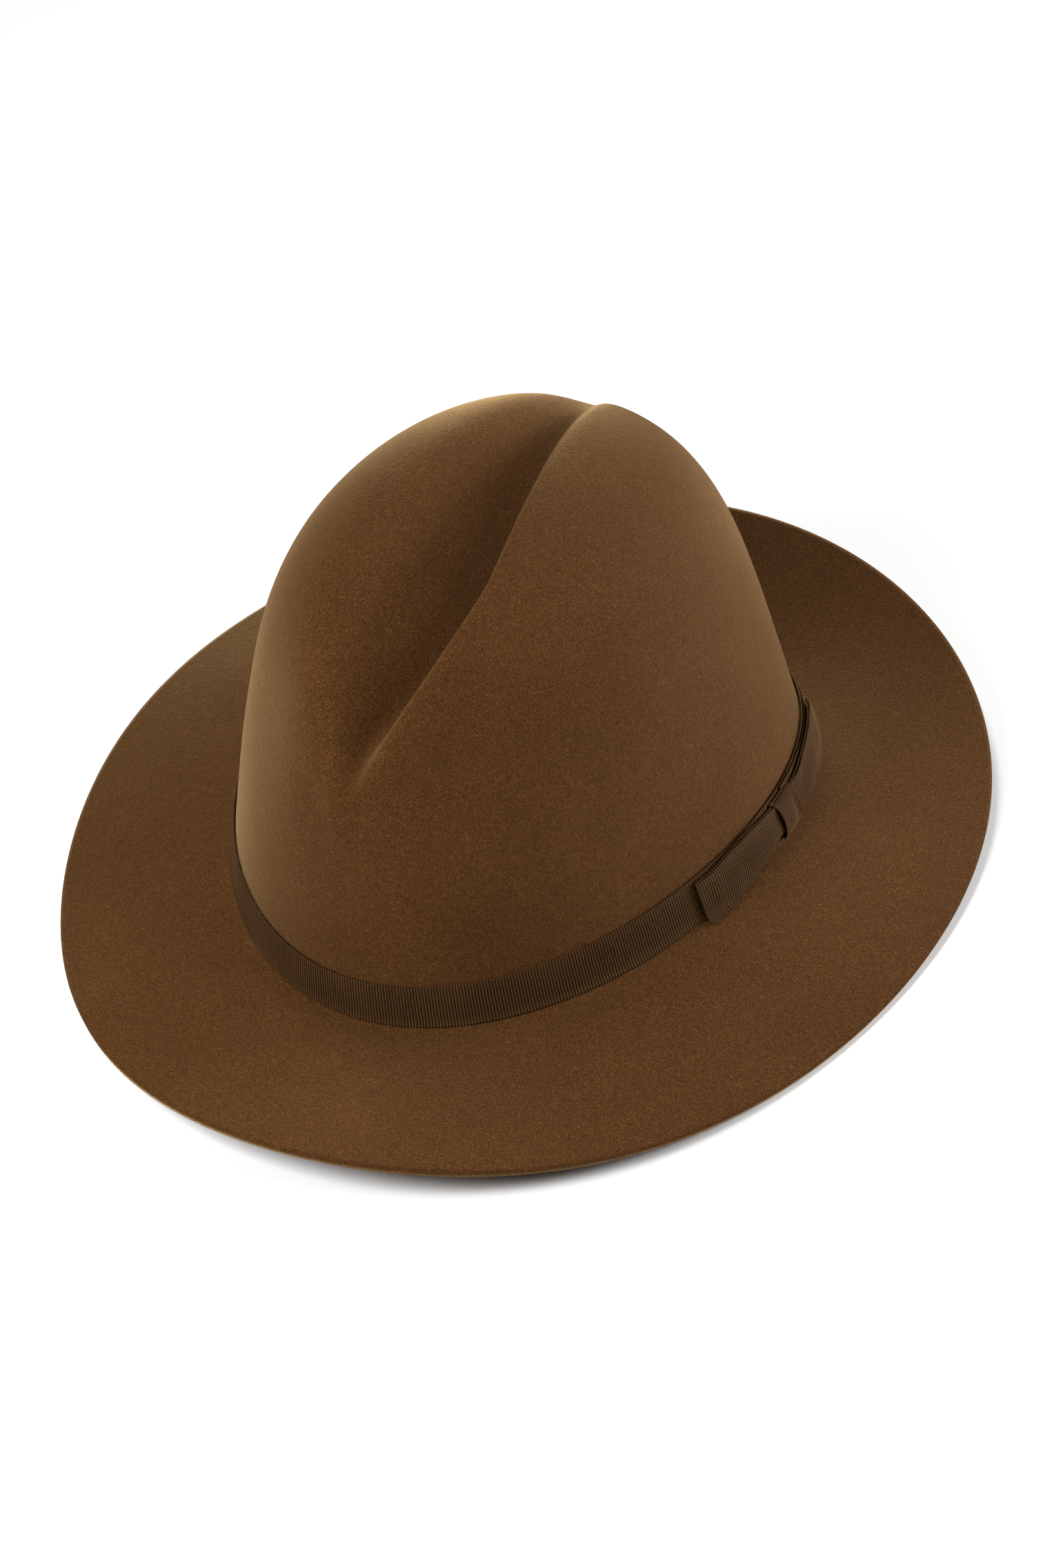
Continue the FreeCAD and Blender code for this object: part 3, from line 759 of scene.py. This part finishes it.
def ring_piece(name, section):
    """A ring round the inside of the crown. section lists functions of the turn: height, offset."""
    rings = [[on_wall(turn, *corner(turn)) for turn in turns(RING_POINTS)] for corner in section]
    return rings_mesh(name, rings)


def sweatband(finish):
    """The leather strip, with rounded edges and a pressed line below its top."""
    face = [(0.0, 0.25), (0.25, 0.0), (2.2, 0.0), (5.0, -0.06), (8.0, 0.0), (13.0, -0.10), (20.0, -0.16),
            (27.0, -0.10), (32.4, 0.0), (32.8, 0.16), (33.3, 0.0), (35.6, 0.0), (SWEAT_WIDTH, 0.3)]
    section = [lambda turn, h=h, d=d: (SWEAT_LOW + h, -SWEAT_FACE + d + waver(turn * 6, h / 25, 0.10))
               for h, d in face]
    for h in (SWEAT_WIDTH, 30.0, 20.0, 10.0, 0.0):
        rounding = 0.15 if h in (0.0, SWEAT_WIDTH) else 0.0
        section.append(lambda turn, h=h, r=rounding: (SWEAT_LOW + h, -SWEAT_BACK - r))
    piece = finished(ring_piece("sweatband", section[::-1]), finish, "sweat_leather", "sweatband_leather")


def reed_and_welt(reed_finish, tape_finish):
    """The reed along the sweatband's lower edge, and the tape folded round it."""
    middle = (SWEAT_BACK + SWEAT_FACE) / 2
    height = SWEAT_LOW - WELT_THICK - REED_RADIUS - 2 * LAYER_GAP

    def arc(radius, first, last, count):
        angles = [math.radians(a) for a in spread(first, last, count)]
        return [lambda turn, a=a: (height + radius * math.sin(a), -middle + radius * math.cos(a))
                for a in angles]

    reed = ring_piece("reed", arc(REED_RADIUS, 0, 330, 12)[::-1])
    finished(reed, reed_finish, "reed_plastic", "sweatband_reed")
    inner = REED_RADIUS + LAYER_GAP
    section = arc(inner + WELT_THICK, -60, 240, 15) + arc(inner, 240, -60, 15)
    finished(ring_piece("welt", section[::-1]), tape_finish, "welt_tape", "sweatband_welt")


def sweatband_thread(finish):
    """The lock stitches all round, and the slanted ones of the back seam."""
    offset = -(SWEAT_FACE + LAYER_GAP + 0.15)
    groups = []
    for i in range(LOCK_COUNT):
        place = distance_at(2 * math.pi * (i + 0.5) / LOCK_COUNT)
        height = SWEAT_LOW + LOCK_LIFT
        ends = [on_wall(turn_at(place + side * 1.7), height + side * 0.25, offset) for side in (-1, 1)]
        groups.append(capsule(*ends, 0.28, 0.12, -outward(turn_at(place))))
    finished(joined("lock_stitches", groups), finish, "pale_thread", "sweatband_lock_stitches")
    groups = []
    offset = -(SWEAT_FACE + LAYER_GAP + TAPE_THICK + LAYER_GAP + 0.2)
    back = distance_at(math.pi / 2)
    for side in (-1, 1):
        for i in range(4):
            height = SWEAT_LOW + LOCK_LIFT + 15 + 4 * i
            ends = [on_wall(turn_at(back + side * (2.7 + way * 0.6)), height + way * 1.2, offset)
                    for way in (-1, 1)]
            groups.append(capsule(*ends, 0.28, 0.1, Vector((0, -1, 0))))
    finished(joined("seam_stitches", groups), finish, "pale_thread", "sweatband_seam_stitches")


def inside_patch(name, middle, low, length, width, face, thick, finish, slot, node, curl=0.0):
    """A small flat piece of cloth on the sweatband's face, turned to the wearer's head."""
    def place(along, v):
        share = along / length
        lift = curl * abs(2 * share - 1) ** 3 + waver(share * 3, v + low, 0.06)
        return on_wall(turn_at(middle + length * (share - 0.5)), low + width / 2 * (1 - v), -face - lift)
    piece = ribbon(name, place, length, thick=-thick, pitch=0.7)
    return finished(piece, finish, slot, node)


def inner_trim(tape_finish, bow_finish, label_finish):
    """The back seam's tape and little bow, and the two blank labels."""
    back = distance_at(math.pi / 2)
    face = SWEAT_FACE + LAYER_GAP
    low = SWEAT_LOW + LOCK_LIFT

    def tape(along, v):
        turn = turn_at(back - v * TAPE_WIDTH / 2)
        return on_wall(turn, low + 2 + along, -face - TAPE_THICK)
    finished(ribbon("seam_tape", tape, SWEAT_WIDTH - LOCK_LIFT - 3, thick=TAPE_THICK, pitch=0.9),
             tape_finish, "welt_tape", "sweatband_seam_tape")

    def small_bow(along, v):
        """Two flat loops, drawn in at the middle."""
        across = 7.8 * math.cos(2 * math.pi * along / SMALL_BOW_LENGTH)
        waist = 0.4 + 0.6 * min(1.0, abs(across) / 4.0)
        puff = 0.55 * math.sin(2 * math.pi * along / SMALL_BOW_LENGTH)
        depth = face + TAPE_THICK + LAYER_GAP + 0.65 + puff
        return on_wall(turn_at(back + across), low + 6 - v * 2.8 * waist, -depth)
    finished(ribbon("little_bow", small_bow, SMALL_BOW_LENGTH, closed=True, thick=0.18, pitch=0.8),
             bow_finish, "inner_ribbon", "sweatband_bow")
    label = inside_patch("maker_label", 0.0, low + 7, 26.0, 14.0, face, 0.3, label_finish,
                         "label_cloth", "blank_maker_label", 0.15)
    inside_patch("size_tag", distance_at(math.radians(68)), low + 12, 13.0, 8.0, face, 0.3,
                 label_finish, "label_cloth", "blank_size_tag", 0.2)


def lining_grid(rows, gather):
    """Two skins of cloth inside the felt, in soft gathers that run up the crown."""
    grid = grid_of(rows, LINING_POINTS)
    ways = directions(grid)
    layers = []
    for depth in (LINING_NEAR, LINING_FAR):
        layer = []
        for i, (ring, line) in enumerate(zip(grid, ways)):
            size = gather(i)
            layer.append([p - way * (depth + size * (1 + math.sin(0.5 * j + 2.2 * noise.noise(
                Vector((j / 9, 0.3, 0.7)))))) for j, (p, way) in enumerate(zip(ring, line))])
        layers.append(layer)
    return layers


def lining(satin):
    """The lining's side, gathered at the seam, and its tip, which follows the lining's own crease."""
    form = LINING_CREASE
    rows = [lambda turn, u=u: wall_point(turn, u, form)
            for u in spread(LINING_SEAM - 0.004, LINING_START, 16)]
    near, far = lining_grid(rows, lambda i: 0.30 * math.exp(-i / 5) + 0.05)
    side = finished(rings_mesh("lining_wall", near + far[::-1]), satin, "satin", "lining_side")
    rows = [lambda turn, q=q: tip_point(turn, q, form) for q in spread(0.004, 0.89, 34)]
    rows += [lambda turn, u=u: wall_point(turn, u, form) for u in spread(0.79, LINING_SEAM + 0.015, 12)]
    near, far = lining_grid(rows, lambda i: 0.3 * smooth_step((i - 30) / 14))
    tip = finished(rings_mesh("lining_top", near + far[::-1], capped=True), satin, "satin", "lining_tip")


def piping(cord):
    """The round piping over the seam between the lining's side and its tip."""
    share = LINING_SEAM + 0.0075
    rows = [lambda turn, u=u: wall_point(turn, u, LINING_CREASE) for u in (share + 0.02, share, share - 0.02)]
    grid = grid_of(rows, RING_POINTS)
    ways = directions(grid)[1]
    rings = []
    for angle in turns(PIPING_SIDES):
        ring = []
        for top, here, low, way in zip(*grid, ways):
            up = (top - low).normalized()
            centre = here - way * (LINING_FAR + LAYER_GAP + PIPING_RADIUS)
            ring.append(centre + up * (PIPING_RADIUS * math.sin(angle))
                        + way * (PIPING_RADIUS * math.cos(angle)))
        rings.append(ring)
    finished(rings_mesh("piping", rings), cord, "piping_cord", "lining_piping")


def tip_patch(label):
    """The plain patch in the middle of the lining's tip."""
    reach = PATCH_HALF_LENGTH / HALF_LENGTH
    rows = [lambda turn, q=q: tip_point(turn, q, LINING_CREASE) for q in spread(0.01, reach, 14)]
    grid = grid_of(rows, PATCH_POINTS)
    ways = directions(grid)
    depth = LINING_FAR + 2 * LAYER_GAP
    near = moved(grid, ways, -depth)
    far = moved(grid, ways, -depth - PATCH_THICK)
    piece = rings_mesh("tip_patch", near + far[::-1], capped=True)
    finished(piece, label, "label_cloth", "lining_tip_patch")


# ---------------------------------------------------------------- the studio

FLOOR_REACH = 6.0
FLOOR_WHITE = 0.9
WORLD_STRENGTH = 0.06
AIM_HEIGHT = 0.05


def floor():
    """A plain white floor, level with the hat's lowest point."""
    mesh = bpy.data.meshes.new("floor")
    corners = [(x * FLOOR_REACH, y * FLOOR_REACH, 0) for x, y in ((-1, -1), (1, -1), (1, 1), (-1, 1))]
    mesh.from_pydata(corners, [], [(0, 1, 2, 3)])
    plane = bpy.data.objects.new("floor", mesh)
    bpy.context.scene.collection.objects.link(plane)
    made, _, _, shader = material("floor")
    shader.inputs["Base Color"].default_value = (FLOOR_WHITE, FLOOR_WHITE, FLOOR_WHITE, 1)
    shader.inputs["Roughness"].default_value = 0.9
    mesh.materials.append(made)


# name, turn from +X, rise above the floor, distance, width and height in metres, power in watts
LIGHTS = [("key", 250, 38, 0.62, 0.28, 0.28, 4.6), ("top", 140, 62, 1.6, 0.5, 0.5, 13),
          ("rim", 42, 12, 1.6, 0.9, 0.5, 37), ("side", 5, 35, 1.6, 0.5, 0.5, 7)]


def soft_light(name, turn, rise, far, width, height, power):
    """A rectangular light that faces the hat."""
    turn, rise = math.radians(turn), math.radians(rise)
    level = math.cos(rise) * far
    place = Vector((level * math.cos(turn), level * math.sin(turn), math.sin(rise) * far + AIM_HEIGHT))
    data = bpy.data.lights.new(name, "AREA")
    data.shape = "RECTANGLE"
    data.size = width
    data.size_y = height
    data.energy = power
    lamp = bpy.data.objects.new(name, data)
    lamp.location = place
    lamp.rotation_euler = (Vector((0, 0, AIM_HEIGHT)) - place).to_track_quat("-Z", "Y").to_euler()
    bpy.context.scene.collection.objects.link(lamp)


def studio():
    floor()
    world = bpy.data.worlds.new("studio")
    world.use_nodes = True
    background = world.node_tree.nodes["Background"]
    background.inputs["Color"].default_value = (1, 1, 1, 1)
    background.inputs["Strength"].default_value = WORLD_STRENGTH
    bpy.context.scene.world = world
    for light in LIGHTS:
        soft_light(*light)
    bpy.context.scene.view_settings.view_transform = "Standard"


CAMERA_TURN = 31.24
CAMERA_RISE = 39.73
CAMERA_ROLL = 5.35
CAMERA_FAR = 1.4
SENSOR = 36.0
LENS = 104.982
SHIFT_RIGHT = 0.002657
SHIFT_UP = 0.011615


def camera():
    """A camera before the hat's left front, looking down on it, with the hat's tilt taken up by its roll.

    The lens and the sensor are in millimetres; the shifts are shares of the picture's longer side.
    """
    turn, rise, roll = (math.radians(a) for a in (CAMERA_TURN, CAMERA_RISE, CAMERA_ROLL))
    back = Vector((math.sin(turn) * math.cos(rise), -math.cos(turn) * math.cos(rise), math.sin(rise)))
    level = Vector((math.cos(turn), math.sin(turn), 0))
    upright = back.cross(level)
    right = level * math.cos(roll) - upright * math.sin(roll)
    up = level * math.sin(roll) + upright * math.cos(roll)
    data = bpy.data.cameras.new("camera")
    data.sensor_width = SENSOR
    data.lens = LENS
    data.shift_x = SHIFT_RIGHT
    data.shift_y = SHIFT_UP
    eye = bpy.data.objects.new("camera", data)
    place = MIDDLE + back * CAMERA_FAR
    eye.matrix_world = Matrix.Translation(place) @ Matrix((right, up, back)).transposed().to_4x4()
    bpy.context.scene.collection.objects.link(eye)
    bpy.context.scene.camera = eye


studio()
camera()
felt(felt_material())
grosgrain = ribbon_material()
band(grosgrain)
bow(grosgrain)
outer_stitches(cloth_material("dark_thread", (0.014, 0.008, 0.004), (0.03, 0.018, 0.009), 3000.0, 0.7, 0.2))
sweatband(leather_material())
welt_tape = cloth_material("welt_tape", (0.055, 0.030, 0.013), (0.09, 0.052, 0.024), 2400.0, 0.8, 0.2, 0.2)
reed_plastic = cloth_material("reed", (0.10, 0.062, 0.036), (0.13, 0.082, 0.05), 300.0, 0.42, 0.45)
reed_and_welt(reed_plastic, welt_tape)
pale_thread = cloth_material("pale_thread", (0.30, 0.21, 0.12), (0.48, 0.35, 0.21), 3000.0, 0.7, 0.25, 0.2)
sweatband_thread(pale_thread)
label_cloth = cloth_material("label_cloth", (0.42, 0.33, 0.22), (0.62, 0.51, 0.36), 2600.0, 0.75, 0.25, 0.2)
inner_ribbon = cloth_material("inner_ribbon", (0.04, 0.022, 0.011), (0.08, 0.047, 0.024),
                              3000.0, 0.6, 0.3, 0.2)
inner_trim(welt_tape, inner_ribbon, label_cloth)
satin = cloth_material("satin", (0.13, 0.078, 0.040), (0.19, 0.118, 0.062), 1500.0, 0.34, 0.5, 0.3, (1, 1, 6))
piping_cord = cloth_material("piping", (0.05, 0.028, 0.013), (0.08, 0.046, 0.022), 2400.0, 0.5, 0.4)
lining(satin)
piping(piping_cord)
tip_patch(label_cloth)
